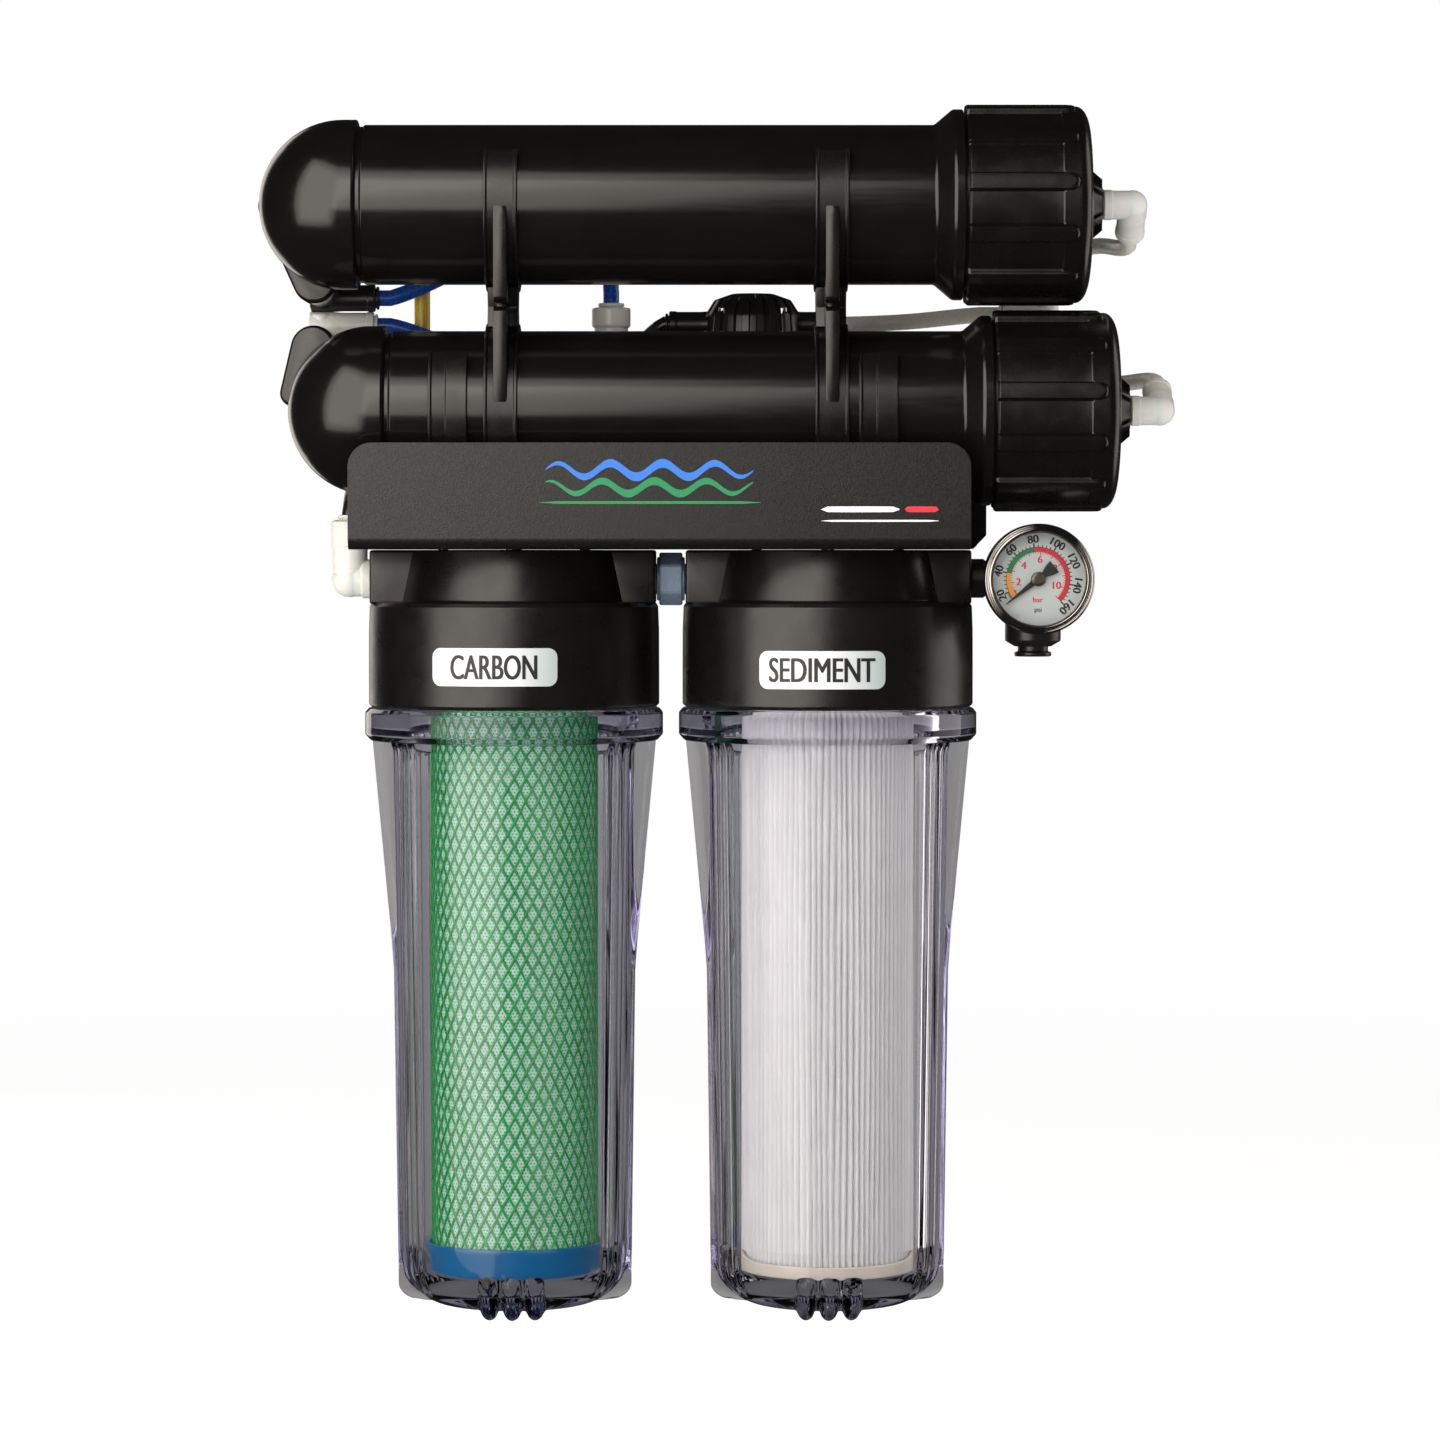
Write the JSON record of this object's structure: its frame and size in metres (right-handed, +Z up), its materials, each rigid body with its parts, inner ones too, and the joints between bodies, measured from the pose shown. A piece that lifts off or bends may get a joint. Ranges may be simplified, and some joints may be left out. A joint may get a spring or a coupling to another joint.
{
  "type": "reverse osmosis unit",
  "caption": "Wall-hung reverse osmosis water filter: two clear filter bowls under a folded bracket, two horizontal membrane housings above, a shutoff valve, tubing and a pressure gauge.",
  "frame": {"origin": "middle of the bracket's wall face, on the wall", "axes": "+X to the viewer's right along the membrane housings, +Y back into the wall, +Z up; the filter bowls hang down along -Z"},
  "size_m": [0.3572, 0.1233, 0.4753],
  "materials": {
    "black_coat": "charcoal powder coat with a fine grain, satin",
    "black_plastic": "moulded black plastic, satin with soft broad highlights",
    "black_gloss": "extruded and moulded black plastic, semi-gloss",
    "clear_plastic": "clear moulded plastic with a faint violet tint, polished",
    "white_plastic": "white push-in fittings, semi-gloss",
    "grey_plastic": "pale blue-grey moulded nipple, semi-gloss",
    "blue_plastic": "blue cast end cap, satin",
    "carbon_wrap": "white spun wrap under a green diamond net",
    "pleated_cloth": "white pleated filter cloth, matte",
    "cream_plastic": "cream cast end cap, matte",
    "chrome": "bright plated ring",
    "steel": "plated steel, fine brushing",
    "rubber": "black rubber, matte",
    "dial_white": "white printed dial, satin",
    "white_tubing": "white polyethylene tubing, satin",
    "black_tubing": "black polyethylene tubing, satin",
    "blue_tubing": "blue polyethylene tubing, satin",
    "yellow_tubing": "yellow polyethylene tubing, satin",
    "membrane_wrap": "taped membrane roll, satin"
  },
  "bodies": {
    "root": {"bracket": "black_coat", "head_screw_1": "steel", "head_screw_2": "steel", "head_screw_3": "steel", "head_screw_4": "steel", "head_screw_5": "steel", "head_screw_6": "steel", "head_screw_7": "steel", "head_screw_8": "steel", "carbon_head": "black_plastic", "sediment_head": "black_plastic", "head_nipple": "grey_plastic", "inlet_tee": "black_plastic", "gauge_case": "steel", "gauge_bezel": "chrome", "gauge_window": "clear_plastic", "gauge_dial": "dial_white", "carbon_outlet_elbow": "white_plastic", "carbon_outlet_tube": "black_tubing", "upper_membrane_housing": "black_gloss", "lower_membrane_housing": "black_gloss", "upper_feed_plug": "black_plastic", "lower_feed_plug": "black_plastic", "upper_membrane": "membrane_wrap", "lower_membrane": "membrane_wrap", "left_double_clip": "black_plastic", "right_double_clip": "black_plastic", "left_saddle_clip": "black_plastic", "right_saddle_clip": "black_plastic", "upper_feed_elbow": "white_plastic", "lower_feed_elbow": "white_plastic", "upper_feed_tube": "white_tubing", "lower_feed_tube": "white_tubing", "feed_tee": "white_plastic", "feed_supply_tube": "white_tubing", "shutoff_valve_cover": "black_plastic", "shutoff_valve_base": "black_plastic", "upper_product_elbow": "black_plastic", "lower_product_elbow": "white_plastic", "product_tee": "white_plastic", "upper_product_tube": "blue_tubing", "lower_product_tube": "blue_tubing", "product_link_tube": "blue_tubing", "upper_reject_elbow": "white_plastic", "drain_tee": "white_plastic", "reject_tube": "yellow_tubing"},
    "carbon_cartridge": {"carbon_block": "carbon_wrap", "carbon_bottom_cap": "blue_plastic", "carbon_top_cap": "blue_plastic"},
    "carbon_bowl": {"carbon_sump": "clear_plastic", "carbon_sump_seal": "rubber"},
    "sediment_cartridge": {"pleated_media": "pleated_cloth", "sediment_bottom_cap": "cream_plastic", "sediment_top_cap": "cream_plastic"},
    "sediment_bowl": {"sediment_sump": "clear_plastic", "sediment_sump_seal": "rubber"},
    "needle": {"gauge_needle": "black_coat"},
    "upper_cap": {"upper_housing_cap": "black_gloss"},
    "lower_cap": {"lower_housing_cap": "black_gloss"},
    "collet": {"inlet_collet": "black_plastic"}
  },
  "joints": [
    {"name": "carbon_lower", "type": "slide", "parent": "root", "child": "carbon_cartridge", "axis": [0, 0, -1], "range_m": [0, 0.07]},
    {"name": "carbon_turn", "type": "hinge", "parent": "carbon_cartridge", "child": "carbon_bowl", "pos_m": [-0.0619, -0.062, -0.2], "axis": [0, 0, -1], "continuous": true},
    {"name": "sediment_lower", "type": "slide", "parent": "root", "child": "sediment_cartridge", "axis": [0, 0, -1], "range_m": [0, 0.07]},
    {"name": "sediment_turn", "type": "hinge", "parent": "sediment_cartridge", "child": "sediment_bowl", "pos_m": [0.0619, -0.062, -0.2], "axis": [0, 0, -1], "continuous": true},
    {"name": "needle_swing", "type": "hinge", "parent": "root", "child": "needle", "pos_m": [0.143, -0.095, -0.0315], "axis": [0, 1, 0], "range_deg": [0, 268], "stiffness_Nm_per_rad": 0.001},
    {"name": "upper_cap_turn", "type": "hinge", "parent": "root", "child": "upper_cap", "pos_m": [0.1387, -0.084, 0.114], "axis": [1, 0, 0], "range_deg": [0, 810]},
    {"name": "lower_cap_turn", "type": "hinge", "parent": "root", "child": "lower_cap", "pos_m": [0.1497, -0.084, 0.034], "axis": [1, 0, 0], "range_deg": [0, 810]},
    {"name": "collet_push", "type": "slide", "parent": "root", "child": "collet", "axis": [0, 0, 1], "range_m": [0, 0.0015]}
  ]
}
